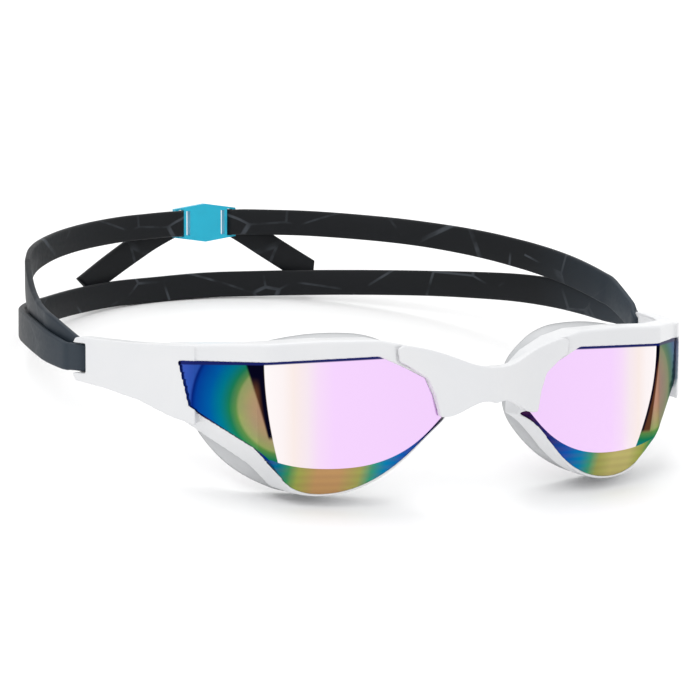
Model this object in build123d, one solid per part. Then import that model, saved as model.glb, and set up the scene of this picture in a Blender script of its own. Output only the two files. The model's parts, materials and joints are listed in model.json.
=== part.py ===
from build123d import *
from math import atan, degrees, radians, sin
import os

# Swim goggles, in millimetres.  Everything is drawn with the lenses upright: +X is the
# wearer's left, the front faces -Y and +Z is up.  At the end the whole assembly is tipped
# back onto its lower edges, the way it lies on a table, and moved to its footprint centre.

# front outline of one eyepiece seen from above: nose end, brow, outer corner, temple
FRONT_NOSE = (8.5, -3.2)
FRONT_MID = (26.1, 0.0)
FRONT_CORNER = (51.3, 7.1)
FRONT_SIDE = (66.0, 22.8)
ARM_MID = (72.0, 38.0)
ARM_TIP = (77.0, 56.5)
MID_RADIUS = 200.0
CORNER_RADIUS = 7.0
SIDE_RADIUS = 22.0
ARM_RADIUS = 55.0

FRAME_PROUD = 0.6
FRAME_DEPTH = 8.5
BROW_ROUND = 0.8
BROW_LOW_Z = -3.0

LENS_WALL = 2.2
LENS_DEPTH = 6.0
LENS_CENTRE = (38.0, -14.5)
LENS_HOLLOW = (0.94, 0.89)
LENS_RISE = 1.4
CHAMFER_DEPTH = 3.4
CHAMFER_REACH = (-0.6, 5.0)
CHAMFER_TOP = 30.0
RIM = 0.55
RIM_END_X = 46.2
FACET_TURN = 14.8

# sloping white face below the outer corner of the lens
SLOPE_POINT = (64.1, 20.8, -11.2)
SLOPE_NORMAL = (0.757, -0.226, -0.612)

SEAL_DEPTH = 5.5
SEAL_CENTRE = (36.0, -13.5)
SEAL_OPENING = (0.8, 0.74)

ARM_THICK = 3.4
ARM_OUTWARD = (0.954, -0.3)
ARM_TOP_ROOT = 2.6
ARM_TOP_TIP = 2.1
ARM_BOTTOM_TIP = -8.1
ARM_TIP_ROUND = 2.0
POST_LENGTH = 1.7
POST_THICK = 1.2
POST_CENTRE = (74.6, 55.6)
POST_TURN = 73.0
SEAT_REACH = 5.0
SLOT_LENGTH = 2.3
FOLD_LENGTH = 12.0
FOLD_SPLAY = 0.5
STRAP_SEAT_Z = -2.8

STRAP_WIDTH = 6.6
STRAP_THICK = 1.5
SEAT_GAP = 0.15
LOOP_HALF_WIDTH = 76.5
LOOP_LENGTH = 85.5
LOOP_CENTRE_Y = 64.5
LOOP_POWER = 2.12
LAYER_STEP = 1.6
ROOT_LENGTH = 6.0

# strand roots seen from above, then strand centre lines seen from the side as (y, z)
UPPER_START = ((73.6, 54.6), (75.2, 60.4))
LOWER_START = ((76.4, 53.6), (77.8, 59.6))
UPPER_CENTRE = ((50.0, -3.6), (60.0, -0.4), (68.0, 2.9), (81.0, 7.0), (93.0, 10.2), (112.0, 14.4),
                (128.0, 17.2), (141.0, 19.2), (150.0, 20.6), (156.0, 21.4))
LOWER_CENTRE = ((50.0, -2.9), (65.0, -2.8), (73.0, -2.1), (82.0, -0.4), (93.0, 1.8), (110.0, 3.5),
                (130.0, 4.2), (156.0, 4.3))

# the two edges the goggles lie on, seen from the side as (y, z)
SEAL_LOW = (18.4, -32.0)
STRAP_LOW = (LOOP_CENTRE_Y + LOOP_LENGTH + LAYER_STEP, 1.0)

HINGE_Y = 62.5
HINGE_Z = -0.65
HINGE_RADIUS = 5.6
GAP = 0.35

CLIP_Z = 20.6
CLIP_HALF_WIDTH = 8.6
CLIP_END_HALF_HEIGHT = 3.7
CLIP_MID_HALF_HEIGHT = 4.95
CLIP_THICK = 1.8
CLIP_FRONT_Y = LOOP_CENTRE_Y + LOOP_LENGTH + STRAP_THICK / 2 + GAP
CROSSBAR_INNER = 7.6
WRAP_SLOT_INNER = 6.15
OPEN_SLOT_OUTER = 5.4
OPEN_SLOT_INNER = 4.4
WRAP_THICK = 1.2
WRAP_INNER_X = WRAP_SLOT_INNER + 0.1
STRAND_END_X = 6.5

TAIL_ROOT_X = 9.0
TAIL_GAP = 1.4
TAIL_OFFSET = LAYER_STEP + STRAP_THICK / 2 + TAIL_GAP
LEFT_TAIL_END = ((28.3, 10.4), (31.6, 3.2))
RIGHT_TAIL_END = ((34.3, 9.6), (38.4, 2.1))

BRIDGE_FRONT = -8.2
BRIDGE_THICK = 3.8
SOCKET_MOUTH = 20.0
PEG_WIDTH = 2.4
PEG_HEIGHT = 5.0
PEG_DEPTH = 4.0
PEG_X = 10.6
PEG_Y = -3.6
PEG_Z = -7.4
CLEARANCE = 0.3

FAR = 200.0


def xz_face(*edges):
    """Face from edges drawn in the upright XZ plane, given as (x, z)."""
    return make_face([edge.rotate(Axis.X, 90) for edge in edges])


def xz_prism(edges, front, back):
    """Upright outline pushed along Y from front to back."""
    face = xz_face(*edges)
    prism = extrude(face, amount=back - front, dir=(0, 1, 0))
    return prism.moved(Location((0, front, 0)))


def plan_prism(edges, low=-FAR, high=FAR):
    """Outline seen from above pushed along Z from low to high."""
    face = make_face(edges)
    return extrude(face, amount=high - low, dir=(0, 0, 1)).moved(Location((0, 0, low)))


def side_prism(edges, left, right):
    """Outline seen from the side, drawn as (y, z), pushed along X from left to right."""
    turned = [edge.rotate(Axis.X, 90).rotate(Axis.Z, 90) for edge in edges]
    prism = extrude(make_face(turned), amount=right - left, dir=(1, 0, 0))
    return prism.moved(Location((left, 0, 0)))


def front_path():
    """Rounded front line of an eyepiece, from the nose to the temple tip, seen from above."""
    return FilletPolyline(
        FRONT_NOSE, FRONT_MID, FRONT_CORNER, FRONT_SIDE, ARM_MID, ARM_TIP,
        radius=(MID_RADIUS, CORNER_RADIUS, SIDE_RADIUS, ARM_RADIUS),
    )


def front_band(front, back):
    """Space between the front line moved back by front and by back, full height."""
    near = front_path().moved(Location((0, front, 0)))
    far = front_path().moved(Location((0, back, 0)))
    inner = Line(near @ 0, far @ 0)
    outer = Line(near @ 1, far @ 1)
    return plan_prism(near.edges() + far.edges() + [inner, outer])


def loop_point(y, outward):
    """Point of the strap loop seen from above at depth y, moved outward across the strap."""
    reach = min(abs(y - LOOP_CENTRE_Y) / LOOP_LENGTH, 1.0)
    side = (1.0 - reach ** LOOP_POWER) ** (1.0 / LOOP_POWER)
    across = side ** (LOOP_POWER - 1.0) / LOOP_HALF_WIDTH
    along = reach ** (LOOP_POWER - 1.0) / LOOP_LENGTH
    size = (across ** 2 + along ** 2) ** 0.5
    sign = 1.0 if y > LOOP_CENTRE_Y else -1.0
    return (
        LOOP_HALF_WIDTH * side + outward * across / size,
        y + sign * outward * along / size,
    )


def loop_depths(first):
    """Depths from first to the back of the loop, closer together towards the back."""
    last = LOOP_CENTRE_Y + LOOP_LENGTH
    return [first + (last - first) * sin(radians(turn)) for turn in range(0, 91, 9)]


def half_line(start, centre_offset, shift):
    """Edge line of one strand from the temple to the back of the head."""
    root = [(x + shift * ARM_OUTWARD[0], y + shift * ARM_OUTWARD[1]) for x, y in start]
    rest = [loop_point(y, centre_offset + shift) for y in loop_depths(LOOP_CENTRE_Y + ROOT_LENGTH)]
    return root + rest


def side_band(centre_line, half_height):
    """Side view of a strap running along centre_line, given as (y, z)."""
    low = Spline([(y, z - half_height) for y, z in centre_line])
    high = Spline([(y, z + half_height) for y, z in centre_line])
    return side_prism([low, high, Line(low @ 0, high @ 0), Line(low @ 1, high @ 1)], -FAR, FAR)


def hinge_drum(radius):
    drum = Cylinder(radius, 2 * FAR, rotation=(0, 90, 0))
    return drum.moved(Location((0, HINGE_Y, HINGE_Z)))


def behind_hinge(radius):
    """Space the swinging strap may fill: a drum round the hinge and everything behind it."""
    behind = Box(2 * FAR, FAR, 2 * FAR).moved(Location((0, HINGE_Y + FAR / 2, 0)))
    return behind + hinge_drum(radius)


def shrunk(points, centre, across, upright):
    """Outline points drawn in towards a centre."""
    return [(centre[0] + across * (x - centre[0]), centre[1] + upright * (z - centre[1])) for x, z in points]


def lens_outline(across=1.0, upright=1.0):
    """Lens seen from the front; the lower edge lies on the back of the chamfer."""
    low_points = [(9.7, -14.6), (13.0, -16.8), (20.0, -23.6), (29.9, -30.0), (37.2, -31.4), (42.0, -30.8),
                  (45.9, -28.6)]
    top_points = [(45.9, -28.6), (53.0, -20.4), (64.3, -11.3), (65.9, -1.1), (51.3, -0.9), (26.1, 0.0),
                  (20.0, -2.8), (15.4, -5.2), (13.6, -9.2), (12.6, -12.6), (9.7, -14.6)]
    lower = Spline(shrunk(low_points, LENS_CENTRE, across, upright))
    upper = Polyline(shrunk(top_points, LENS_CENTRE, across, upright))
    return [lower] + list(upper.edges())


def lens_chamfer():
    """Body whose underside is the sloping lower face of the lens, in the front facet's plane."""
    front_edge = [(9.0, -11.9), (13.2, -14.6), (18.4, -18.7), (27.4, -23.4), (36.8, -24.9),
                  (45.7, -24.0), (57.5, -17.2)]
    back_edge = [(8.6, -12.6), (12.2, -16.0), (16.4, -20.4), (25.6, -27.8), (37.2, -31.4),
                 (48.6, -30.4), (64.0, -22.0)]
    faces = []
    for reach in CHAMFER_REACH:
        edge = [(a + reach * (c - a), b + reach * (d - b))
                for (a, b), (c, d) in zip(front_edge, back_edge)]
        low = Spline(edge)
        high = Polyline(edge[-1], (edge[-1][0], CHAMFER_TOP), (edge[0][0], CHAMFER_TOP), edge[0])
        face = xz_face(low, *high.edges())
        faces.append(face.moved(Location((0, reach * CHAMFER_DEPTH, 0))))
    wedge = loft(faces, ruled=True)
    turned = wedge.moved(Location((-FRONT_MID[0], 0, 0))).rotate(Axis.Z, FACET_TURN)
    return turned.moved(Location((FRONT_MID[0], FRONT_MID[1], 0)))


def corner_slope(outward):
    """Everything above the sloping plane that trims the lower outer corner."""
    point = Vector(SLOPE_POINT) + Vector(SLOPE_NORMAL) * outward
    corner = Plane(origin=point, z_dir=-Vector(SLOPE_NORMAL))
    start = corner.from_local_coords(Vector(-FAR, -FAR, 0))
    return Solid.make_box(2 * FAR, 2 * FAR, FAR, Plane(origin=start, x_dir=corner.x_dir, z_dir=corner.z_dir))


def lens_block(step_back, rise):
    """Solid filling the lens shape, its front moved back and its lower face moved up."""
    block = front_band(step_back, LENS_DEPTH) & xz_prism(lens_outline(), -FAR, FAR)
    block &= lens_chamfer().moved(Location((0, 0, rise)))
    return block & corner_slope(0.0)


def eye_opening():
    """Hole the eye looks through."""
    outline = Spline((15.6, -9.0), (19.6, -5.8), (27.0, -3.8), (38.0, -4.0), (50.0, -4.4), (59.0, -4.8),
                     (62.0, -7.6), (59.6, -11.6), (52.4, -18.0), (46.5, -24.4), (41.0, -27.5),
                     (35.6, -28.0), (29.4, -26.2), (22.0, -20.8), (17.0, -15.6), (15.0, -12.2), periodic=True)
    return xz_prism([outline], -FAR, FAR)


def make_lens():
    """Moulded lens: bent front pane, side pane and sloping lower face, with a short skirt."""
    hollow = xz_prism(lens_outline(*LENS_HOLLOW), -FAR, FAR) & lens_block(LENS_WALL, LENS_RISE)
    return lens_block(0.0, 0.0) - hollow


def frame_outline():
    """Frame seen from the front, without its temple arm."""
    lower = Spline((9.2, -15.0), (12.6, -17.1), (19.7, -24.1), (29.7, -30.6), (37.2, -32.0), (43.4, -31.2),
                   (50.0, -27.8))
    rest = Polyline((50.0, -27.8), (57.0, -21.4), (61.6, -16.6), (64.8, -13.4), (64.8, 2.6),
                    (51.3, 3.3), (38.0, 3.9), (26.0, 3.8), (19.4, 2.4), (13.0, -0.6), (9.6, -3.4),
                    (9.2, -15.0))
    return [lower] + list(rest.edges())


def arm_plan():
    """Temple arm seen from above."""
    outer = [(x + FRAME_PROUD * ARM_OUTWARD[0], y + FRAME_PROUD * ARM_OUTWARD[1])
             for x, y in ((62.9, 18.8), FRONT_SIDE, ARM_MID, ARM_TIP)]
    tip = (ARM_TIP[0] - ARM_THICK * ARM_OUTWARD[0], ARM_TIP[1] - ARM_THICK * ARM_OUTWARD[1])
    far = FilletPolyline(*outer, radius=(SIDE_RADIUS, ARM_RADIUS))
    near = FilletPolyline((59.0, 22.4), (62.9, 26.6), (68.8, 39.2), tip, radius=(SIDE_RADIUS, ARM_RADIUS))
    return far.edges() + near.edges() + [Line(near @ 0, far @ 0), Line(near @ 1, far @ 1)]


def make_arm():
    """Temple arm, with the seat, slot and post the strap is threaded round."""
    side = Polyline((14.0, ARM_TOP_ROOT), (38.0, ARM_TOP_TIP), (ARM_TIP[1], ARM_TOP_TIP),
                    (ARM_TIP[1], ARM_BOTTOM_TIP), (44.0, -9.3), (34.0, -11.0), (26.0, -13.6), (14.0, -17.0),
                    (14.0, ARM_TOP_ROOT))
    arm = plan_prism(arm_plan()) & side_prism(side.edges(), 40.0, FAR)
    tip = arm.edges().filter_by(Axis.X, tolerance=30).group_by(Axis.Y)[-1]
    arm = fillet(tip, ARM_TIP_ROUND)
    seat_height = STRAP_WIDTH + 2 * SEAT_GAP
    keep = POST_THICK / 2
    for side_sign in (-1, 1):
        cutter = Box(POST_LENGTH + 2 * SLOT_LENGTH, 2 * SEAT_REACH, seat_height)
        arm -= at_post(cutter, POST_LENGTH / 2, side_sign * (keep + SEAT_REACH))
    slot = Box(SLOT_LENGTH, 4 * SEAT_REACH, seat_height)
    return arm - at_post(slot, -(POST_LENGTH + SLOT_LENGTH) / 2, 0.0)


def at_post(shape, along, outward):
    """Move a shape drawn round the origin to the strap post; along runs back down the arm."""
    return (
        shape.moved(Location((along, -outward, 0)))
        .rotate(Axis.Z, POST_TURN)
        .moved(Location((POST_CENTRE[0], POST_CENTRE[1], STRAP_SEAT_Z)))
    )


def below_rim():
    """Space in front of the sloping lower face of the lens that the frame's thin rim leaves free."""
    below = Box(RIM_END_X, FAR, FAR).moved(Location((RIM_END_X / 2, 0, -FAR / 2)))
    below &= front_band(-2 * FRAME_PROUD, FRAME_DEPTH)
    return below - lens_chamfer().moved(Location((0, 0, -RIM)))


def brow_edges(ring):
    """Upper edges of the frame, along its front and its back."""
    chosen = []
    for edge in ring.edges():
        run = (edge @ 1) - (edge @ 0)
        if edge.center().Z > BROW_LOW_Z and Vector(run.X, 0, run.Z).length > GAP:
            chosen.append(edge)
    return chosen


def make_frame(bridge_void):
    """White frame of one eyepiece with its temple arm."""
    ring = front_band(-FRAME_PROUD, FRAME_DEPTH) & xz_prism(frame_outline(), -FAR, FAR)
    ring &= corner_slope(0.0)
    ring = fillet(brow_edges(ring), BROW_ROUND)
    ring -= eye_opening()
    ring -= below_rim()
    frame = ring + make_arm()
    frame -= xz_prism(lens_outline(), -FAR, FAR) & front_band(-2 * LENS_DEPTH, LENS_DEPTH)
    return frame - bridge_void


def make_seal():
    """Soft ring behind the frame that rests round the eye."""
    outline = [(12.0, -4.5), (16.2, 0.2), (21.0, 3.0), (27.4, 4.3), (37.8, 4.1), (49.7, 1.8), (58.0, -1.8),
               (60.6, -8.0), (58.6, -16.0), (52.6, -25.0), (45.2, -30.3), (39.0, -32.0), (31.6, -30.9),
               (21.6, -26.0), (13.6, -18.4), (11.2, -12.0)]
    ring = xz_prism([Spline(outline, periodic=True)], -FAR, FAR)
    ring -= xz_prism([Spline(shrunk(outline, SEAL_CENTRE, *SEAL_OPENING), periodic=True)], -FAR, FAR)
    return ring & front_band(FRAME_DEPTH, FRAME_DEPTH + SEAL_DEPTH)


def bridge_outline(grow):
    """Left half of the bridge seen from the front; grow widens it all round."""
    top = Spline((0.0, -2.7 + grow), (5.6, -1.9 + grow), (10.4, 0.0 + grow), (16.0, 1.7 + grow),
                 (20.6, 2.6 + grow))
    end = Polyline((20.6, 2.6 + grow), (22.2 + grow, 1.8 + grow), (21.8 + grow, -1.2 - grow),
                   (19.3 + grow, -2.6 - grow), (15.4 + grow, -5.3 - grow), (13.7 + grow, -9.2),
                   (12.6 + grow, -14.0 - grow))
    low = Spline((12.6 + grow, -14.0 - grow), (9.6, -13.7 - grow), (6.0, -11.8 - grow), (0.0, -11.2 - grow))
    return top.edges() + end.edges() + low.edges() + [Line((0.0, -11.2 - grow), (0.0, -2.7 + grow))]


def bridge_half(grow, front):
    """Left half of the bridge; grow is the clearance left round it, front moves its face."""
    face = Spline((0.0, BRIDGE_FRONT - front), (5.0, -7.6 - front), (10.0, -5.7 - front),
                  (15.0, -4.0 - front), (22.8, -2.0 - front))
    back = Spline((0.0, BRIDGE_FRONT + BRIDGE_THICK + grow), (5.0, -4.3 + grow), (9.0, -3.5 + grow),
                  (15.0, -2.5 + grow), (22.8, -1.0 + grow))
    body = plan_prism([face, back, Line(face @ 0, back @ 0), Line(face @ 1, back @ 1)])
    body &= xz_prism(bridge_outline(grow), -FAR, FAR)
    peg = Box(PEG_WIDTH + 2 * grow, PEG_DEPTH + 2 * grow, PEG_HEIGHT + 2 * grow)
    return body + peg.moved(Location((PEG_X, PEG_Y + PEG_DEPTH / 2, PEG_Z)))


def make_bridge():
    half = bridge_half(0.0, 0.0)
    return half + half.mirror(Plane.YZ)


def make_fold():
    """End of the strap folded round the post of the temple arm."""
    keep = POST_THICK / 2
    outer = keep + STRAP_THICK
    ahead_of_post = -POST_LENGTH / 2 - STRAP_THICK
    path = FilletPolyline((FOLD_LENGTH, outer - FOLD_SPLAY), (2.0, outer), (ahead_of_post, outer),
                          (ahead_of_post, -outer), (2.0, -outer), (FOLD_LENGTH, -outer + FOLD_SPLAY),
                          radius=(1.0, 1.2, 1.2, 1.0))
    inner = Polyline((FOLD_LENGTH, keep - FOLD_SPLAY), (2.0, keep), (-POST_LENGTH / 2, keep),
                     (-POST_LENGTH / 2, -keep), (2.0, -keep), (FOLD_LENGTH, -keep + FOLD_SPLAY))
    face = make_face(path.edges() + inner.edges() + [Line(path @ 0, inner @ 0), Line(path @ 1, inner @ 1)])
    fold = at_post(extrude(face, amount=STRAP_WIDTH / 2, both=True), 0.0, 0.0)
    ahead = Box(4 * FAR, FAR, 2 * FAR).moved(Location((0, HINGE_Y - FAR / 2, 0)))
    return (fold & ahead) - hinge_drum(HINGE_RADIUS + GAP)


def strand_plan(start, centre_offset):
    """Strip seen from above from the temple to the middle of the back."""
    near = Spline(half_line(start, centre_offset, -STRAP_THICK / 2))
    far = Spline(half_line(start, centre_offset, STRAP_THICK / 2))
    return [near, far, Line(near @ 0, far @ 0), Line(near @ 1, far @ 1)]


def make_upper_strand():
    """Upper strand from one temple to the clip."""
    strand = plan_prism(strand_plan(UPPER_START, 0.0)) & side_band(UPPER_CENTRE, STRAP_WIDTH / 2)
    strand &= behind_hinge(HINGE_RADIUS)
    return strand - Box(2 * STRAND_END_X, 4 * FAR, 2 * FAR)


def make_lower_strand():
    """Lower strand, one length round the back of the head from temple to temple."""
    half = plan_prism(strand_plan(LOWER_START, LAYER_STEP)) & side_band(LOWER_CENTRE, STRAP_WIDTH / 2)
    half &= behind_hinge(HINGE_RADIUS)
    return half + half.mirror(Plane.YZ)


def make_clip():
    """Six-sided adjuster plate with a strap slot and a narrow open slot on each side."""
    outline = Polyline((0, CLIP_MID_HALF_HEIGHT), (CLIP_HALF_WIDTH, CLIP_END_HALF_HEIGHT),
                       (CLIP_HALF_WIDTH, -CLIP_END_HALF_HEIGHT), (0, -CLIP_MID_HALF_HEIGHT),
                       (-CLIP_HALF_WIDTH, -CLIP_END_HALF_HEIGHT), (-CLIP_HALF_WIDTH, CLIP_END_HALF_HEIGHT),
                       (0, CLIP_MID_HALF_HEIGHT))
    plate = xz_prism(outline.edges(), CLIP_FRONT_Y, CLIP_FRONT_Y + CLIP_THICK).moved(Location((0, 0, CLIP_Z)))
    slots = ((WRAP_SLOT_INNER, CROSSBAR_INNER, STRAP_WIDTH / 2 + SEAT_GAP),
             (OPEN_SLOT_INNER, OPEN_SLOT_OUTER, STRAP_WIDTH / 2 - SEAT_GAP))
    for near, far, half_height in slots:
        cutter = Box(far - near, 4 * CLIP_THICK, 2 * half_height)
        for sign in (-1, 1):
            plate -= cutter.moved(Location((sign * (near + far) / 2, CLIP_FRONT_Y, CLIP_Z)))
    return plate


def tail_line(shift):
    """Edge line of a loose tail seen from above, lying outside both strands."""
    rear = CLIP_FRONT_Y + CLIP_THICK
    root = [(WRAP_INNER_X, rear + shift), (CLIP_HALF_WIDTH + 0.8, rear + shift)]
    return root + [loop_point(y, TAIL_OFFSET + shift) for y in (148.6, 145.6, 141.4, 135.6)]


def make_tail_strip(corner, tip):
    """Strap behind the clip and the tail sloping down from it; corner and tip end the cut edge."""
    near = Spline(tail_line(0.0))
    far = Spline(tail_line(WRAP_THICK))
    strip = plan_prism([near, far, Line(near @ 0, far @ 0), Line(near @ 1, far @ 1)])
    top = CLIP_Z + STRAP_WIDTH / 2
    low = CLIP_Z - STRAP_WIDTH / 2
    view = Polyline((WRAP_INNER_X, low), (WRAP_INNER_X, top), (TAIL_ROOT_X, top), corner, tip,
                    (TAIL_ROOT_X, low), (WRAP_INNER_X, low))
    return strip & xz_prism(view.edges(), 0.0, FAR)


def tail_root():
    """Space round the clip that belongs to the wrap instead of the tail."""
    return Box(2 * TAIL_ROOT_X, 4 * FAR, 2 * FAR)


def make_wrap():
    """Strap turned through the clip slot and back over the crossbar."""
    nose = Box(WRAP_THICK, CLIP_THICK + WRAP_THICK, STRAP_WIDTH)
    middle = (WRAP_INNER_X + WRAP_THICK / 2, CLIP_FRONT_Y + (CLIP_THICK + WRAP_THICK) / 2, CLIP_Z)
    return nose.moved(Location(middle)) + (make_tail_strip(*LEFT_TAIL_END) & tail_root())


def make_tail(corner, tip):
    """Loose end of the strap beyond the clip."""
    return make_tail_strip(corner, tip) - tail_root()


def both_sides(name, shape):
    return {"left_" + name: shape, "right_" + name: shape.mirror(Plane.YZ)}


bridge_socket = bridge_half(CLEARANCE, SOCKET_MOUTH)
lens = make_lens() - bridge_socket
nodes = {"nose_bridge": make_bridge(), "lower_strand": make_lower_strand(), "strap_clip": make_clip()}
nodes.update(both_sides("lens", lens))
nodes.update(both_sides("frame", make_frame(bridge_socket)))
nodes.update(both_sides("seal", make_seal()))
nodes.update(both_sides("strap_fold", make_fold()))
nodes.update(both_sides("upper_strand", make_upper_strand()))
nodes.update(both_sides("strap_wrap", make_wrap()))
nodes["left_strap_tail"] = make_tail(*LEFT_TAIL_END)
nodes["right_strap_tail"] = make_tail(*RIGHT_TAIL_END).mirror(Plane.YZ)

REST_TILT = degrees(atan((STRAP_LOW[1] - SEAL_LOW[1]) / (STRAP_LOW[0] - SEAL_LOW[0])))
os.makedirs("parts", exist_ok=True)
tipped = {name: shape.rotate(Axis.X, -REST_TILT) for name, shape in nodes.items()}
whole = Compound(children=[Compound([shape.solid()]) for shape in tipped.values()]).bounding_box()
rest = Location((0, -(whole.min.Y + whole.max.Y) / 2, -whole.min.Z))
for name, shape in tipped.items():
    export_step(shape.solid().moved(rest), "parts/" + name + ".step")
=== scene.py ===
import bpy
import json
import math
from mathutils import Matrix, Vector


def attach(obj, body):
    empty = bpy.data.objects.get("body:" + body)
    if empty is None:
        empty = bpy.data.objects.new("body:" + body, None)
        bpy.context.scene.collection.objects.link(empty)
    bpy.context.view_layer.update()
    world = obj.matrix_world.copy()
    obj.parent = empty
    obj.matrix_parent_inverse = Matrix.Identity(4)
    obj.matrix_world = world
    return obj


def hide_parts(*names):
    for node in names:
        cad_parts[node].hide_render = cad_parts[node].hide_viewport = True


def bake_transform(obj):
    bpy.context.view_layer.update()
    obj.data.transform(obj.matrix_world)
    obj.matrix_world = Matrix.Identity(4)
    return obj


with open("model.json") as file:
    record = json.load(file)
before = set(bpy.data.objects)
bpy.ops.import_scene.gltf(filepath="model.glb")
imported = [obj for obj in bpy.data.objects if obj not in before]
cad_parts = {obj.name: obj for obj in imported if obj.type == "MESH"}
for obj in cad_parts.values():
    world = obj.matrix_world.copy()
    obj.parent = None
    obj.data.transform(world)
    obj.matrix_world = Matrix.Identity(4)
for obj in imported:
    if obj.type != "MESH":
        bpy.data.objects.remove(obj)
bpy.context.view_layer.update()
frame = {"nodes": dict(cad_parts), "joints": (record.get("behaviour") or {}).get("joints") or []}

# The goggles are drawn here with the lenses upright, in millimetres: +X is the wearer's left,
# the lenses face -Y.  place() tips a point back to where the frame holds the goggles at rest.
MM = 0.001
JOINTS = {joint["name"]: joint for joint in frame["joints"]}
AHEAD = Vector(JOINTS["bridge_release"]["axis"])
BEHIND = -AHEAD
UPRIGHT = Vector((1.0, 0.0, 0.0)).cross(BEHIND)
TILT = math.atan2(AHEAD.z, -AHEAD.y)
HINGE = Vector((0.0, 62.5, -0.65))
ORIGIN = Vector(JOINTS["strap_swing"]["pos_m"]) - (BEHIND * HINGE.y + UPRIGHT * HINGE.z) * MM


def place(point):
    """Row-frame place, in metres, of a point drawn in millimetres."""
    x, y, z = point
    return ORIGIN + (Vector((x, 0.0, 0.0)) + BEHIND * y + UPRIGHT * z) * MM


# ---------------------------------------------------------------- shapes shared by the pieces

# width of the strap at distances behind the front of the goggles
STRAP_WIDTHS = ((50.0, 6.4), (58.0, 6.4), (66.0, 7.0), (75.0, 7.6), (95.0, 7.6), (120.0, 6.9),
                (130.0, 6.6), (156.0, 6.6))
STRAP_THICK = 1.5
WRAP_THICK = 1.2
STRAP_GAP = 1.2
LOOP_HALF_WIDTH = 76.5
LOOP_LENGTH = 85.5
LOOP_CENTRE_Y = 64.5
LOOP_POWER = 2.12
LAYER_STEP = 1.6
SEAM_Y = 104.0

POST_CENTRE = Vector((74.6, 55.6))
POST_TURN = math.radians(73.0)
POST_HALF = 0.6
SEAT_Z = -2.8

CLIP_Z = 20.6

# straight runs of the front line, seen from above: start, then end
FRONT_LINES = ((8.5, -3.2, 26.1, 0.0), (26.1, 0.0, 51.3, 7.1), (51.3, 7.1, 66.0, 22.8),
               (66.0, 22.8, 72.0, 38.0))
FRONT_SOFTNESS = 0.55
FRONT_LEVEL = 20.0


def front(x):
    """Depth of the front line of an eyepiece at distance x from the middle."""
    total = 0.0
    for x0, y0, x1, y1 in FRONT_LINES:
        height = y0 + (abs(x) - x0) * (y1 - y0) / (x1 - x0)
        total += math.exp((height - FRONT_LEVEL) / FRONT_SOFTNESS)
    return FRONT_LEVEL + FRONT_SOFTNESS * math.log(total)


def loop_at(x, outward):
    """Depth of the back of the strap loop at distance x from the middle."""
    share = min(abs(x) / (LOOP_HALF_WIDTH + outward), 1.0)
    return LOOP_CENTRE_Y + (LOOP_LENGTH + outward) * (1.0 - share ** LOOP_POWER) ** (1.0 / LOOP_POWER)


def loop_point(turn, outward):
    """Point of the strap loop seen from above; turn is 0 at the side and 90 degrees at the back."""
    angle = math.radians(turn)
    x = (LOOP_HALF_WIDTH + outward) * max(math.cos(angle), 0.0) ** (2.0 / LOOP_POWER)
    y = LOOP_CENTRE_Y + (LOOP_LENGTH + outward) * math.sin(angle) ** (2.0 / LOOP_POWER)
    return x, y


def between(table, value):
    """Value read smoothly from a table of (position, height) pairs."""
    if value <= table[0][0]:
        return table[0][1]
    for i in range(len(table) - 1):
        a, b = table[i], table[i + 1]
        if value <= b[0]:
            before = table[max(i - 1, 0)]
            after = table[min(i + 2, len(table) - 1)]
            span = b[0] - a[0]
            rise_a = (b[1] - before[1]) / (b[0] - before[0]) * span
            rise_b = (after[1] - a[1]) / (after[0] - a[0]) * span
            t = (value - a[0]) / span
            return ((2 * t ** 3 - 3 * t ** 2 + 1) * a[1] + (t ** 3 - 2 * t ** 2 + t) * rise_a
                    + (3 * t ** 2 - 2 * t ** 3) * b[1] + (t ** 3 - t ** 2) * rise_b)
    return table[-1][1]


def smooth_span(p0, p1, p2, p3, steps):
    """Points of a smooth curve from p1 towards p2, with p0 and p3 as its neighbours."""
    span = []
    for k in range(steps):
        t = k / steps
        span.append(0.5 * (2 * p1 + (p2 - p0) * t + (2 * p0 - 5 * p1 + 4 * p2 - p3) * t ** 2
                           + (3 * p1 - p0 - 3 * p2 + p3) * t ** 3))
    return span


def spaced(points, gap):
    """Smooth line through points, with a point about every gap millimetres."""
    line = []
    last = len(points) - 1
    for i in range(last):
        steps = max(2, int((points[i + 1] - points[i]).length / gap + 0.5))
        before, after = points[max(i - 1, 0)], points[min(i + 2, last)]
        line += smooth_span(before, points[i], points[i + 1], after, steps)
    line.append(points[-1])
    return line


def new_object(name, vertices, faces):
    """Smooth-shaded piece from vertices in upright millimetres."""
    mesh = bpy.data.meshes.new(name)
    mesh.from_pydata([place(v) for v in vertices], [], faces)
    mesh.validate()
    for polygon in mesh.polygons:
        polygon.use_smooth = True
    piece = bpy.data.objects.new(name, mesh)
    bpy.context.scene.collection.objects.link(piece)
    return piece


def strap_section(width, thick):
    """Rounded oblong across the strap, as (along the width, along the thickness)."""
    corner = 0.38 * thick
    section = []
    for centre_w, centre_t, start in ((1, 1, 0), (-1, 1, 90), (-1, -1, 180), (1, -1, 270)):
        for step in range(4):
            angle = math.radians(start + 30 * step)
            section.append((centre_w * (width / 2 - corner) + corner * math.cos(angle),
                            centre_t * (thick / 2 - corner) + corner * math.sin(angle)))
    return section


PRINT_START_Y = 62.0
PRINT_FADE = 40.0
CUT_LENGTH = 5.0


def printed_share(point):
    """How dark and printed the strap is: fully at the back, fading to plain slate at the temples."""
    return min(max((point.y - PRINT_START_Y) / PRINT_FADE, 0.0), 1.0)


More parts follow.
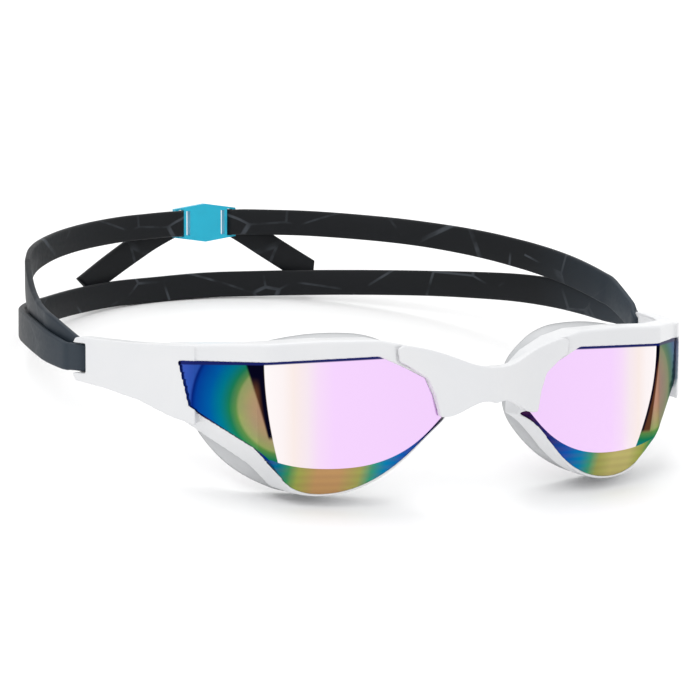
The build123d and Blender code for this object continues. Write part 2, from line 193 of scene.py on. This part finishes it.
def strap_piece(name, line, thicks, start, end=None, cut=0.0):
    """Strap swept along a line, standing on edge.  thicks is read along its length; start and end are
    its directions at the seams.  Without a seam its end is closed and cut at a slant."""
    lengths = [0.0]
    for a, b in zip(line, line[1:]):
        lengths.append(lengths[-1] + (b - a).length)
    total = lengths[-1]
    vertices, marks = [], []
    for i, point in enumerate(line):
        tangent = (line[min(i + 1, len(line) - 1)] - line[max(i - 1, 0)]).normalized()
        if i == 0:
            tangent = start
        elif end and i == len(line) - 1:
            tangent = end
        upward = (Vector((0, 0, 1)) - tangent * tangent.z).normalized()
        outward = tangent.cross(upward)
        lean = cut * max(0.0, 1.0 - (total - lengths[i]) / CUT_LENGTH) ** 2
        for w, t in strap_section(between(STRAP_WIDTHS, point.y), between(thicks, lengths[i])):
            vertices.append(point + upward * w + outward * t - tangent * lean * w)
            marks.append((lengths[i], w, t))
    ring = len(strap_section(1.0, 1.0))
    faces = []
    for i in range(len(line) - 1):
        for k in range(ring):
            a = i * ring + k
            b = i * ring + (k + 1) % ring
            faces.append((a, a + ring, b + ring, b))
    if not end:
        faces.append(tuple(range(len(vertices) - 1, len(vertices) - 1 - ring, -1)))
    piece = new_object(name, vertices, faces)
    along = piece.data.attributes.new("along_strap", "FLOAT_VECTOR", "POINT")
    along.data.foreach_set("vector", [c * MM for mark in marks for c in mark])
    inside = piece.data.attributes.new("printed", "FLOAT", "POINT")
    inside.data.foreach_set("value", [printed_share(v) for v in vertices])
    return piece


# ---------------------------------------------------------------- the strap

# height of each strand at distances behind the front of the goggles
LOWER_HEIGHTS = {
    -1: ((50.0, -2.8), (57.0, -2.8), (64.0, -2.3), (68.0, -1.8), (73.0, -1.0), (82.0, 0.3), (93.0, 1.2),
         (104.0, 1.2), (127.0, 1.5), (135.0, 1.9), (146.0, 3.3), (156.0, 4.3)),
    1: ((50.0, -2.8), (57.0, -2.8), (62.0, -1.6), (68.0, 0.4), (73.0, 1.0), (82.0, 2.0), (93.0, 3.3),
        (110.0, 4.3), (156.0, 4.3)),
}
UPPER_HEIGHTS = {
    -1: ((50.0, -2.8), (55.0, -2.7), (60.0, -1.8), (64.0, -0.8), (69.5, 1.5), (76.0, 2.9), (84.0, 4.8),
         (92.0, 8.0), (100.0, 11.8), (104.0, 13.2), (112.0, 14.8), (128.0, 17.2), (141.0, 19.2),
         (150.0, 20.6), (156.0, 20.6)),
    1: ((50.0, -2.8), (54.0, -2.6), (57.0, -0.8), (60.0, 1.0), (64.0, 2.6), (68.0, 3.9), (73.0, 5.5),
        (81.0, 7.7), (93.0, 10.6), (112.0, 14.4), (128.0, 17.2), (141.0, 19.2), (150.0, 20.6),
        (156.0, 20.6)),
}


def at_post(along, outward):
    """Place seen from above near the strap post of the +X temple."""
    back = Vector((math.cos(POST_TURN), math.sin(POST_TURN)))
    out = Vector((back.y, -back.x))
    return POST_CENTRE + back * along + out * outward


FOLD_TURN_AT = -0.35
FOLD_ENDS = (1.8, 4.0)
FOLD_PINCH = 0.1


def fold_line():
    """Middle of the strap as it turns round the post: inner layer first, then outer layer."""
    reach = POST_HALF + STRAP_THICK / 2
    near, far = FOLD_ENDS
    points = [at_post(far, -reach + FOLD_PINCH), at_post(near, -reach)]
    for turn in range(-90, 91, 30):
        angle = math.radians(turn)
        points.append(at_post(FOLD_TURN_AT - reach * math.cos(angle), reach * math.sin(angle)))
    points += [at_post(near, reach), at_post(far, reach - FOLD_PINCH)]
    return points


SEAM_TURN = math.degrees(math.asin(((SEAM_Y - LOOP_CENTRE_Y) / LOOP_LENGTH) ** (LOOP_POWER / 2)))


def upper_point(side, turn):
    """Point on the middle line of an upper strand."""
    x, y = loop_point(turn, 0.0)
    return Vector((side * x, y, between(UPPER_HEIGHTS[side], y)))


def seam_direction(side):
    """Direction of an upper strand at its seam, towards the back of the head."""
    return (upper_point(side, SEAM_TURN + 0.5) - upper_point(side, SEAM_TURN - 0.5)).normalized()


# where the strap lies along the loop: shares of the way to the seam, and turns of the lower strand
TO_TEMPLE = (1.0, 0.8, 0.6, 0.42, 0.28, 0.16)
TO_CLIP = (0.0, 0.12, 0.25, 0.4, 0.55, 0.7, 0.82)
LOWER_TURNS = (3, 8, 14, 21, 29, 38, 48, 59, 70, 80)
LEAVING_TEMPLE = (77.5, 61.0, SEAT_Z)


def side_line(side):
    """Half of the long strap: from the seam of the upper strand, round the post, to the back."""
    start = [upper_point(side, SEAM_TURN * share) for share in TO_TEMPLE]
    points = []
    layers = fold_line()
    for i, spot in enumerate(layers):
        inner_layer = i < len(layers) / 2
        points.append((spot.x, spot.y, between(UPPER_HEIGHTS[side], spot.y) if inner_layer else SEAT_Z))
    points.append(LEAVING_TEMPLE)
    for turn in LOWER_TURNS:
        x, y = loop_point(turn, LAYER_STEP)
        points.append((x, y, between(LOWER_HEIGHTS[side], y)))
    return start + [Vector((side * x, y, z)) for x, y, z in points]


def make_long_strap():
    """Lower strand with, at each temple, its turn round the post and the start of the upper strand."""
    middle = Vector((0.0, loop_at(0.0, LAYER_STEP), LOWER_HEIGHTS[1][-1][1]))
    points = side_line(-1) + [middle] + list(reversed(side_line(1)))
    line = spaced(points, STRAP_GAP)
    even = ((0.0, STRAP_THICK), (1.0, STRAP_THICK))
    return strap_piece("strap_long", line, even, -seam_direction(-1), seam_direction(1))


# the way of the strap through the slot of the clip, round its bar and out behind it
CLIP_PASS = ((10.5, 150.1, CLIP_Z), (8.6, 150.2, CLIP_Z), (7.4, 150.6, CLIP_Z), (6.9, 151.3, CLIP_Z),
             (6.85, 152.2, CLIP_Z), (7.1, 153.0, CLIP_Z - 0.1), (7.8, 153.5, CLIP_Z - 0.3),
             (9.0, 153.6, CLIP_Z - 0.8))
TAIL_START_X = 9.0
TAIL_START_Z = CLIP_Z - 0.5
TAIL_BEHIND = 4.3
TAIL_POINTS = 5
# distances before the end of the tail between which the strap is pressed thinner for the slot
THINNING = (36.0, 28.0)
TAIL_CUT = 0.5


def make_rear_strap(side, name, slope, end_x):
    """Upper strand from its seam to the clip, through the slot and out as the loose tail."""
    start = [upper_point(side, SEAM_TURN + (90.0 - SEAM_TURN) * share) for share in TO_CLIP]
    points = list(CLIP_PASS)
    for step in range(1, TAIL_POINTS + 1):
        x = TAIL_START_X + (end_x - TAIL_START_X) * step / TAIL_POINTS
        points.append((x, loop_at(x, TAIL_BEHIND), TAIL_START_Z - slope * (x - TAIL_START_X)))
    line = spaced(start + [Vector((side * x, y, z)) for x, y, z in points], STRAP_GAP)
    total = sum((b - a).length for a, b in zip(line, line[1:]))
    thicks = ((0.0, STRAP_THICK), (total - THINNING[0], STRAP_THICK), (total - THINNING[1], WRAP_THICK),
              (total, WRAP_THICK))
    return strap_piece(name, line, thicks, seam_direction(side), cut=side * TAIL_CUT)


# ---------------------------------------------------------------- the face seals

SEAL_OUTLINE = ((12.0, -4.5), (16.2, 0.2), (21.0, 3.0), (27.4, 4.3), (37.8, 4.1), (49.7, 1.8),
                (58.0, -1.8), (60.6, -8.0), (59.2, -16.6), (53.4, -25.6), (45.6, -30.5), (39.0, -32.0),
                (31.6, -30.9), (21.6, -26.0), (13.6, -18.4), (11.2, -12.0))
SEAL_CENTRE = (36.0, -13.5)
SEAL_INWARD = (0.2, 0.26)
# section of the seal: share of the way in to its opening, and depth behind the front of the frame
SEAL_SECTION = ((0.62, 8.2), (0.46, 8.7), (0.30, 9.4), (0.17, 10.3), (0.07, 11.4), (0.01, 12.5),
                (0.0, 13.2), (0.05, 13.8), (0.17, 14.1), (0.4, 13.9), (0.7, 13.3), (0.93, 12.6),
                (1.0, 12.2), (0.97, 11.9), (0.85, 11.9), (0.6, 12.2), (0.44, 12.0), (0.42, 11.2),
                (0.56, 10.2), (0.76, 9.2), (0.84, 8.2))
SEAL_STEPS = 12


def make_seal(side, name):
    """Soft flared ring with a rolled lip, moulded round the eye behind the frame."""
    closed = SEAL_OUTLINE[-1:] + SEAL_OUTLINE + SEAL_OUTLINE[:2]
    around = []
    for i in range(1, len(closed) - 2):
        around += smooth_span(*(Vector(p) for p in closed[i - 1:i + 3]), SEAL_STEPS)
    vertices = []
    for point in around:
        for inward, depth in SEAL_SECTION:
            x = SEAL_CENTRE[0] + (1.0 - inward * SEAL_INWARD[0]) * (point.x - SEAL_CENTRE[0])
            z = SEAL_CENTRE[1] + (1.0 - inward * SEAL_INWARD[1]) * (point.y - SEAL_CENTRE[1])
            vertices.append((side * x, front(x) + depth, z))
    ring = len(SEAL_SECTION)
    faces = []
    for i in range(len(around)):
        for k in range(ring):
            a = i * ring + k
            b = i * ring + (k + 1) % ring
            c = (i + 1) % len(around) * ring
            quad = (a, c + k, c + (k + 1) % ring, b)
            faces.append(quad if side < 0 else tuple(reversed(quad)))
    return new_object(name, vertices, faces)


# ---------------------------------------------------------------- materials

def feed(tree, socket, value):
    """Link a node output to a socket, or set a plain value on it."""
    if isinstance(value, bpy.types.NodeSocket):
        tree.links.new(value, socket)
    else:
        socket.default_value = value


def maths(tree, operation, *values):
    """One arithmetic step on plain values or node outputs."""
    node = tree.nodes.new("ShaderNodeMath")
    node.operation = operation
    for socket, value in zip(node.inputs, values):
        feed(tree, socket, value)
    return node.outputs[0]


def rising(tree, value, low, high):
    """0 below low, 1 above high, smooth in between."""
    node = tree.nodes.new("ShaderNodeMapRange")
    node.interpolation_type = "SMOOTHSTEP"
    feed(tree, node.inputs["Value"], value)
    feed(tree, node.inputs["From Min"], low)
    feed(tree, node.inputs["From Max"], high)
    return node.outputs["Result"]


def tint(red, green, blue):
    """Linear colour from 0 to 255 screen values."""
    return tuple((c / 255.0) ** 2.2 for c in (red, green, blue)) + (1.0,)


def ramp(tree, value, low, high, stops):
    """Colour read from stops given at positions between low and high."""
    node = tree.nodes.new("ShaderNodeValToRGB")
    elements = node.color_ramp.elements
    while len(elements) < len(stops):
        elements.new(0.5)
    for element, (position, colour) in zip(elements, stops):
        element.position = (position - low) / (high - low)
        element.color = tint(*colour)
    share = maths(tree, "DIVIDE", maths(tree, "SUBTRACT", value, low), high - low)
    feed(tree, node.inputs["Fac"], share)
    return node.outputs["Color"]


def mix(tree, share, first, second):
    """Colour going from first to second as share goes from 0 to 1."""
    node = tree.nodes.new("ShaderNodeMix")
    node.data_type = "RGBA"
    feed(tree, node.inputs[0], share)
    feed(tree, node.inputs[6], first)
    feed(tree, node.inputs[7], second)
    return node.outputs[2]


def noise(tree, vector, scale, detail=3.0):
    """Cloudy value between 0 and 1; scale is in clouds per metre."""
    node = tree.nodes.new("ShaderNodeTexNoise")
    feed(tree, node.inputs["Vector"], vector)
    node.inputs["Scale"].default_value = scale
    node.inputs["Detail"].default_value = detail
    return node.outputs["Fac"]


def bump(tree, height, strength, distance):
    """Fine relief of the surface; distance is in metres."""
    node = tree.nodes.new("ShaderNodeBump")
    node.inputs["Strength"].default_value = strength
    node.inputs["Distance"].default_value = distance
    feed(tree, node.inputs["Height"], height)
    return node.outputs["Normal"]


def object_place(tree):
    """Place on the piece, in metres."""
    return tree.nodes.new("ShaderNodeTexCoord").outputs["Object"]


def upright_place(tree):
    """Distance from the middle and height of a surface point, drawn upright in millimetres."""
    node = tree.nodes.new("ShaderNodeMapping")
    feed(tree, node.inputs["Vector"], object_place(tree))
    node.inputs["Scale"].default_value = (1 / MM, 1 / MM, 1 / MM)
    node.inputs["Rotation"].default_value = (TILT, 0.0, 0.0)
    node.inputs["Location"].default_value = (0.0, -ORIGIN.dot(BEHIND) / MM, -ORIGIN.dot(UPRIGHT) / MM)
    parts = tree.nodes.new("ShaderNodeSeparateXYZ")
    tree.links.new(node.outputs["Vector"], parts.inputs["Vector"])
    return maths(tree, "ABSOLUTE", parts.outputs["X"]), parts.outputs["Z"]


def new_material(name):
    """Empty material with its node tree and shader."""
    material = bpy.data.materials.new(name)
    material.use_nodes = True
    tree = material.node_tree
    return material, tree, tree.nodes["Principled BSDF"]


def white_plastic():
    """Moulded white plastic: satin, with a very fine texture and faint cloudy patches of a slightly cooler
    white.
    """
    material, tree, shader = new_material("white_plastic")
    spot = object_place(tree)
    cloud = noise(tree, spot, 60.0)
    feed(tree, shader.inputs["Base Color"], mix(tree, cloud, tint(208, 210, 213), tint(218, 218, 219)))
    grain = noise(tree, spot, 2600.0, 2.0)
    feed(tree, shader.inputs["Roughness"], maths(tree, "MULTIPLY_ADD", grain, 0.14, 0.26))
    feed(tree, shader.inputs["Normal"], bump(tree, grain, 0.12, 0.00004))
    shader.inputs["Coat Weight"].default_value = 0.15
    shader.inputs["Coat Roughness"].default_value = 0.12
    return material


def clip_plastic():
    """Moulded cyan plastic of the strap adjuster."""
    material, tree, shader = new_material("clip_plastic")
    spot = object_place(tree)
    cloud = noise(tree, spot, 180.0)
    feed(tree, shader.inputs["Base Color"], mix(tree, cloud, tint(0, 160, 190), tint(6, 176, 206)))
    grain = noise(tree, spot, 3000.0, 2.0)
    feed(tree, shader.inputs["Roughness"], maths(tree, "MULTIPLY_ADD", grain, 0.16, 0.32))
    feed(tree, shader.inputs["Normal"], bump(tree, grain, 0.15, 0.00004))
    return material


def seal_silicone():
    """Milky silicone of the face seals: denser and greyer where it is seen edge-on."""
    material, tree, shader = new_material("seal_silicone")
    spot = object_place(tree)
    facing = tree.nodes.new("ShaderNodeLayerWeight")
    facing.inputs["Blend"].default_value = 0.35
    cloud = noise(tree, spot, 90.0)
    milky = mix(tree, cloud, tint(176, 178, 180), tint(190, 191, 193))
    edge = rising(tree, facing.outputs["Facing"], 0.4, 0.9)
    feed(tree, shader.inputs["Base Color"], mix(tree, edge, milky, tint(92, 95, 99)))
    grain = noise(tree, spot, 1800.0, 2.0)
    feed(tree, shader.inputs["Roughness"], maths(tree, "MULTIPLY_ADD", grain, 0.15, 0.3))
    feed(tree, shader.inputs["Normal"], bump(tree, grain, 0.1, 0.00005))
    shader.inputs["Subsurface Weight"].default_value = 0.25
    shader.inputs["Subsurface Radius"].default_value = (0.0012, 0.0012, 0.0012)
    return material


STRAP_CELL = 0.021
STRAP_LINE = 0.022


def strap_silicone():
    """Dark silicone strap printed with a fine net of thin lighter lines."""
    material, tree, shader = new_material("strap_silicone")
    along = tree.nodes.new("ShaderNodeAttribute")
    along.attribute_name = "along_strap"
    parts = tree.nodes.new("ShaderNodeSeparateXYZ")
    tree.links.new(along.outputs["Vector"], parts.inputs["Vector"])
    flat = tree.nodes.new("ShaderNodeCombineXYZ")
    feed(tree, flat.inputs["X"], parts.outputs["X"])
    feed(tree, flat.inputs["Y"], maths(tree, "MULTIPLY", parts.outputs["Y"], 1.3))
    cells = tree.nodes.new("ShaderNodeTexVoronoi")
    cells.feature = "DISTANCE_TO_EDGE"
    feed(tree, cells.inputs["Vector"], flat.outputs["Vector"])
    cells.inputs["Scale"].default_value = 1.0 / STRAP_CELL
    gap = rising(tree, cells.outputs["Distance"], 0.4 * STRAP_LINE, STRAP_LINE)
    line = maths(tree, "SUBTRACT", 1.0, gap)
    fade = rising(tree, noise(tree, flat.outputs["Vector"], 70.0), 0.42, 0.62)
    printed = tree.nodes.new("ShaderNodeAttribute")
    printed.attribute_name = "printed"
    print_share = maths(tree, "MULTIPLY", maths(tree, "MULTIPLY", line, fade), printed.outputs["Fac"])
    dust = noise(tree, object_place(tree), 900.0)
    plain = mix(tree, dust, tint(14, 17, 20), tint(20, 23, 27))
    slate = mix(tree, dust, tint(38, 47, 55), tint(46, 55, 64))
    plain = mix(tree, printed.outputs["Fac"], slate, plain)
    feed(tree, shader.inputs["Base Color"], mix(tree, print_share, plain, tint(60, 64, 69)))
    feed(tree, shader.inputs["Roughness"], maths(tree, "MULTIPLY_ADD", dust, 0.2, 0.42))
    shader.inputs["Specular IOR Level"].default_value = 0.22
    feed(tree, shader.inputs["Normal"], bump(tree, maths(tree, "ADD", dust, print_share), 0.12, 0.00005))
    return material


# colours of the lens coating, as (position in millimetres, screen colour)
FRONT_PANE = ((10.0, (243, 208, 253)), (36.0, (246, 212, 255)), (39.5, (247, 220, 250)),
              (42.0, (247, 232, 240)), (45.0, (250, 236, 232)), (47.5, (253, 244, 244)),
              (52.0, (255, 250, 250)))
SIDE_PANE = ((4.0, (186, 140, 112)), (6.4, (172, 152, 104)), (8.2, (150, 162, 92)), (8.7, (92, 140, 62)),
             (9.8, (30, 124, 74)), (11.4, (0, 120, 138)), (13.2, (0, 92, 160)), (15.4, (14, 64, 150)),
             (16.0, (12, 34, 112)), (16.4, (48, 82, 168)), (20.0, (66, 84, 170)))
LOWER_FACE_IN = ((10.0, (40, 20, 60)), (16.0, (34, 44, 110)), (21.5, (24, 84, 168)), (25.8, (0, 124, 170)),
                 (28.8, (60, 150, 118)), (31.5, (158, 160, 88)))
LOWER_FACE_OUT = ((45.2, (150, 160, 80)), (47.4, (56, 138, 88)), (49.6, (0, 112, 134)),
                  (52.5, (0, 58, 150)), (58.0, (30, 36, 110)))
WARM_FROM = 36.0
WARM_TO = 41.0
SIDE_CENTRE = (47.5, -11.0)
SIDE_SQUASH = 0.8
# the underside of the brow: its slope across the lens, and its height at the middle
BROW_LINE = (-0.0357, 0.93)
DEEP_BLUE = (10, 50, 120)
RING_BROWN = (120, 70, 80)
TOP_EDGE = (20, 24, 62)
BROW_SHADE = (34, 40, 98)
BROWN = (92, 58, 40)
NAVY = (14, 14, 32)


def side_pane_colour(tree, across, height, spread):
    """Rainbow in rings round a point near the outer corner."""
    reach_x = maths(tree, "DIVIDE", maths(tree, "SUBTRACT", across, SIDE_CENTRE[0]), spread)
    reach_z = maths(tree, "MULTIPLY", maths(tree, "SUBTRACT", height, SIDE_CENTRE[1]), SIDE_SQUASH)
    reach = maths(tree, "SQRT", maths(tree, "ADD", maths(tree, "MULTIPLY", reach_x, reach_x),
                                      maths(tree, "MULTIPLY", reach_z, reach_z)))
    wave = noise(tree, object_place(tree), 260.0)
    rainbow = ramp(tree, reach, 4.0, 20.0, SIDE_PANE)
    return mix(tree, maths(tree, "MULTIPLY", wave, 0.25), rainbow, tint(*DEEP_BLUE))


def lower_face_colour(tree, across, height, shift, warm):
    """Rainbow along the sloping lower face, with faint level rings."""
    stops = LOWER_FACE_IN + ((WARM_FROM, warm), (WARM_TO, warm)) + LOWER_FACE_OUT
    rainbow = ramp(tree, maths(tree, "SUBTRACT", across, shift), 8.0, 60.0, stops)
    rings = maths(tree, "SINE", maths(tree, "MULTIPLY", height, 3.4))
    return mix(tree, maths(tree, "MULTIPLY_ADD", rings, 0.06, 0.06), rainbow, tint(*RING_BROWN))


def corner_band(tree, across, height, edge, bend, width, lean, low):
    """Dark reflection at the outer corner: share of the side pane, share of the band, its colour."""
    bulge = maths(tree, "MULTIPLY", maths(tree, "MULTIPLY", height, height), bend)
    inner = maths(tree, "SUBTRACT", edge, bulge)
    outer = maths(tree, "MULTIPLY_ADD", height, lean, edge + width)
    past_inner = rising(tree, maths(tree, "SUBTRACT", across, inner), -0.1, 0.1)
    past_outer = rising(tree, maths(tree, "SUBTRACT", across, outer), -0.25, 0.25)
    share = maths(tree, "MULTIPLY", past_inner, maths(tree, "SUBTRACT", 1.0, past_outer))
    share = maths(tree, "MULTIPLY", share, rising(tree, height, low - 0.6, low + 0.6))
    streak = maths(tree, "DIVIDE", maths(tree, "SUBTRACT", across, inner), width)
    brown_share = maths(tree, "MULTIPLY", rising(tree, streak, 0.18, 0.5),
                        maths(tree, "SUBTRACT", 1.0, rising(tree, height, -8.0, -4.0)))
    return past_inner, share, mix(tree, brown_share, tint(*NAVY), tint(*BROWN))


def upward_share(tree):
    """How far a surface faces up, with the lenses upright."""
    facing = tree.nodes.new("ShaderNodeVectorMath")
    facing.operation = "DOT_PRODUCT"
    tree.links.new(tree.nodes.new("ShaderNodeNewGeometry").outputs["True Normal"], facing.inputs[0])
    facing.inputs[1].default_value = UPRIGHT
    return facing.outputs["Value"]


def lens_mirror(name, shift, warm, spread, band_edge, band_bend, band_width, band_lean, band_low):
    """Mirror coating of one lens.  It turns from lilac on the front pane, through a dark reflection at
    the outer corner, to a rainbow on the side pane and on the sloping lower face.  shift moves the
    rainbow of the lower face outward and warm is its middle colour; spread widens the rainbow of the
    side pane; the band values shape the dark reflection at the corner."""
    material, tree, shader = new_material(name)
    across, height = upright_place(tree)
    front_pane = ramp(tree, across, 10.0, 52.0, FRONT_PANE)
    side_pane = side_pane_colour(tree, across, height, spread)
    lower_face = lower_face_colour(tree, across, height, shift, warm)
    past_corner, band_share, band = corner_band(tree, across, height, band_edge, band_bend, band_width,
                                                band_lean, band_low)

    panes = mix(tree, band_share, mix(tree, past_corner, front_pane, side_pane), band)
    upward = upward_share(tree)
    colour = mix(tree, rising(tree, upward, -0.12, -0.28), panes, lower_face)
    colour = mix(tree, rising(tree, upward, 0.3, 0.6), colour, tint(*TOP_EDGE))
    brow_z = maths(tree, "MULTIPLY_ADD", across, *BROW_LINE)
    under_brow = rising(tree, maths(tree, "SUBTRACT", height, brow_z), -0.75, -0.45)
    feed(tree, shader.inputs["Base Color"], mix(tree, under_brow, colour, tint(*BROW_SHADE)))
    shader.inputs["Metallic"].default_value = 1.0
    shader.inputs["Specular Tint"].default_value = (0.45, 0.45, 0.45, 1.0)
    grain = noise(tree, object_place(tree), 400.0)
    feed(tree, shader.inputs["Roughness"], maths(tree, "MULTIPLY_ADD", grain, 0.06, 0.06))
    return material


def dress(piece, material):
    """Give a piece its only material."""
    piece.data.materials.clear()
    piece.data.materials.append(material)


def mould(piece, grain, passes):
    """Round every edge of a moulded piece, as the mould leaves it."""
    remesh = piece.modifiers.new("skin", "REMESH")
    remesh.mode = "VOXEL"
    remesh.voxel_size = grain
    remesh.use_smooth_shade = True
    smooth = piece.modifiers.new("soften", "SMOOTH")
    smooth.factor = 0.5
    smooth.iterations = passes


# ---------------------------------------------------------------- floor, light, camera

def make_floor():
    """Plain pale floor."""
    mesh = bpy.data.meshes.new("floor")
    mesh.from_pydata([(-3, -3, 0), (3, -3, 0), (3, 3, 0), (-3, 3, 0)], [], [(0, 1, 2, 3)])
    floor = bpy.data.objects.new("floor", mesh)
    bpy.context.scene.collection.objects.link(floor)
    material, tree, shader = new_material("floor_paint")
    cloud = noise(tree, object_place(tree), 4.0)
    feed(tree, shader.inputs["Base Color"], mix(tree, cloud, tint(246, 246, 246), tint(250, 250, 250)))
    shader.inputs["Roughness"].default_value = 0.8
    floor.data.materials.append(material)


def make_light(name, place_at, size, power):
    """Soft square lamp turned to the goggles."""
    lamp = bpy.data.lights.new(name, "AREA")
    lamp.size = size
    lamp.energy = power
    light = bpy.data.objects.new(name, lamp)
    light.location = place_at
    light.rotation_euler = (Vector((0, 0, 0)) - Vector(place_at)).to_track_quat("-Z", "Y").to_euler()
    bpy.context.scene.collection.objects.link(light)


def make_world():
    """Even white surroundings."""
    bpy.context.scene.view_settings.view_transform = "Standard"
    world = bpy.data.worlds.new("world")
    world.use_nodes = True
    world.node_tree.nodes["Background"].inputs["Color"].default_value = (1.0, 1.0, 1.0, 1.0)
    world.node_tree.nodes["Background"].inputs["Strength"].default_value = 1.0
    bpy.context.scene.world = world


VIEW_TURN = math.radians(-26.63)
VIEW_RISE = math.radians(5.23)
VIEW_DISTANCE = 1043.0
VIEW_AIM = (0.0, 62.4, 0.0)
VIEW_LENS = 221.7
VIEW_OFF = (0.001995, 0.004756)


def make_camera():
    """Camera in front of the wearer's right eyepiece, a little above it."""
    back = Vector((math.sin(VIEW_TURN) * math.cos(VIEW_RISE), -math.cos(VIEW_TURN) * math.cos(VIEW_RISE),
                   math.sin(VIEW_RISE)))
    right = Vector((math.cos(VIEW_TURN), math.sin(VIEW_TURN), 0.0))
    up = back.cross(right)
    eye = Vector(VIEW_AIM) + back * VIEW_DISTANCE
    back = (back + right * VIEW_OFF[0] + up * VIEW_OFF[1]).normalized()
    right = up.cross(back).normalized()
    up = back.cross(right)
    start = place((0, 0, 0))
    columns = [(place(v) - start).normalized() for v in (right, up, back)]
    spot = place(eye)
    lens = bpy.data.cameras.new("camera")
    lens.lens = VIEW_LENS
    lens.sensor_width = 36.0
    camera = bpy.data.objects.new("camera", lens)
    camera.matrix_world = Matrix((
        (columns[0].x, columns[1].x, columns[2].x, spot.x),
        (columns[0].y, columns[1].y, columns[2].y, spot.y),
        (columns[0].z, columns[1].z, columns[2].z, spot.z),
        (0, 0, 0, 1)))
    bpy.context.scene.collection.objects.link(camera)
    bpy.context.scene.camera = camera


# ---------------------------------------------------------------- put together

WHITE = white_plastic()
STRAP = strap_silicone()
CLIP = clip_plastic()
SEAL = seal_silicone()
LENSES = {
    "right_lens": lens_mirror("lens_mirror_right", shift=-1.5, warm=(186, 146, 98), spread=1.0,
                              band_edge=51.4, band_bend=0.0052, band_width=3.4, band_lean=0.235,
                              band_low=-18.2),
    "left_lens": lens_mirror("lens_mirror_left", shift=1.5, warm=(188, 178, 112), spread=1.4,
                             band_edge=50.9, band_bend=0.0110, band_width=2.2, band_lean=0.2,
                             band_low=-21.5),
}
MOULD_GRAIN = 0.00025
MOULD_PASSES = 12
CLIP_ROUND = 0.0003
# slope and end of the loose tail at each side
TAILS = {"left": (0.66, 30.0), "right": (0.53, 36.2)}
SIDES = ((1, "left"), (-1, "right"))

make_world()
make_camera()
make_floor()
make_light("key", (-0.6, -0.5, 0.9), 0.5, 2.0)
make_light("top", (0.1, 0.5, 1.2), 0.9, 5.0)

for node in ("left_frame", "right_frame", "nose_bridge"):
    dress(frame["nodes"][node], WHITE)
    mould(frame["nodes"][node], MOULD_GRAIN, MOULD_PASSES)
for node, material in LENSES.items():
    dress(frame["nodes"][node], material)
for side, word in SIDES:
    seal = make_seal(side, word + "_face_seal")
    dress(seal, SEAL)
    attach(seal, "frame")
    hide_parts(word + "_seal")

clip = frame["nodes"]["strap_clip"]
dress(clip, CLIP)
bevel = clip.modifiers.new("soften", "BEVEL")
bevel.width = CLIP_ROUND
bevel.segments = 3

long_strap = make_long_strap()
dress(long_strap, STRAP)
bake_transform(long_strap)
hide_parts("lower_strand", "left_strap_fold", "right_strap_fold")

for side, word in SIDES:
    strap = make_rear_strap(side, word + "_strap_rear", *TAILS[word])
    dress(strap, STRAP)
    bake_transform(strap)
    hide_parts(word + "_upper_strand", word + "_strap_wrap", word + "_strap_tail")
